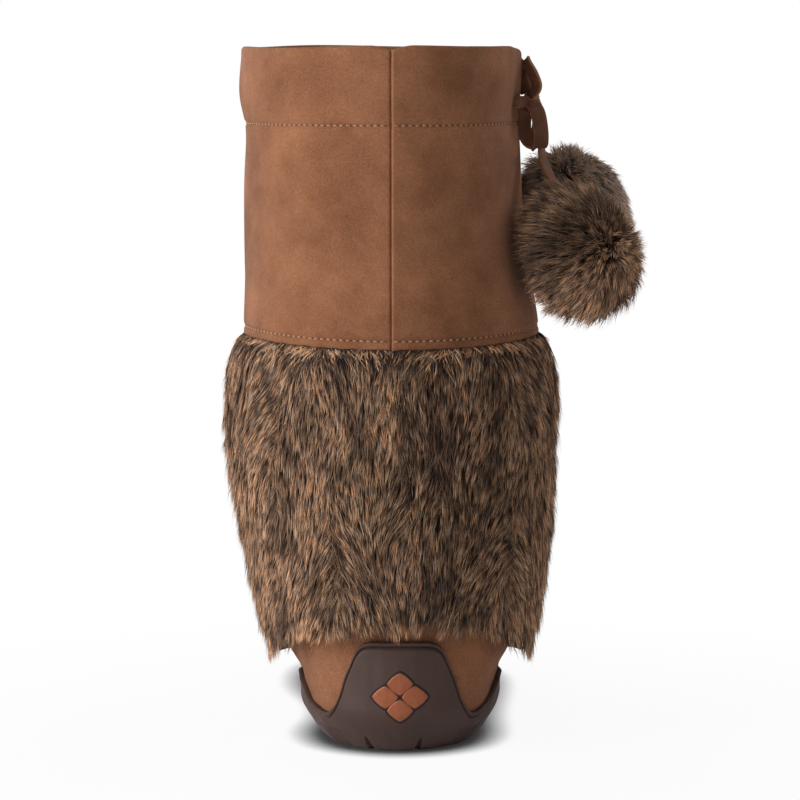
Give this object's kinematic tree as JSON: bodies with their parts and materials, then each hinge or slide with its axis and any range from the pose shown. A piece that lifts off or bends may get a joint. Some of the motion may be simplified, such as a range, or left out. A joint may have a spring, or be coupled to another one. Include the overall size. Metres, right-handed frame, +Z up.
{
  "type": "mukluk boot",
  "caption": "Ankle-high suede mukluk boot with a drawstring cuff, fur band, fur pompoms and a rubber cup sole.",
  "frame": {"origin": "on the floor under the middle of the heel's tread", "axes": "+Z up, +Y towards the toe, +X towards the outer side of the foot"},
  "size_m": [0.1779, 0.2789, 0.2901],
  "materials": {
    "sole_rubber": "moulded satin dark brown rubber",
    "copper_inlay": "moulded copper coloured plastic",
    "insole_felt": "beige wool felt",
    "suede": "brown suede with a short nap",
    "fur": "banded brown rabbit fur",
    "lace_suede": "flat dark brown suede lace"
  },
  "bodies": {
    "root": {"outsole": "sole_rubber", "heel_inlay_1": "copper_inlay", "heel_inlay_2": "copper_inlay", "heel_inlay_3": "copper_inlay", "heel_inlay_4": "copper_inlay", "insole": "insole_felt", "upper": "suede", "fur_band": "fur", "drawstring_knot": "lace_suede", "drawstring_loop_up": "lace_suede", "drawstring_loop_down": "lace_suede", "drawstring_end_low": "lace_suede", "drawstring_end_high": "lace_suede", "pompom_low": "fur", "pompom_high": "fur"}
  },
  "joints": []
}
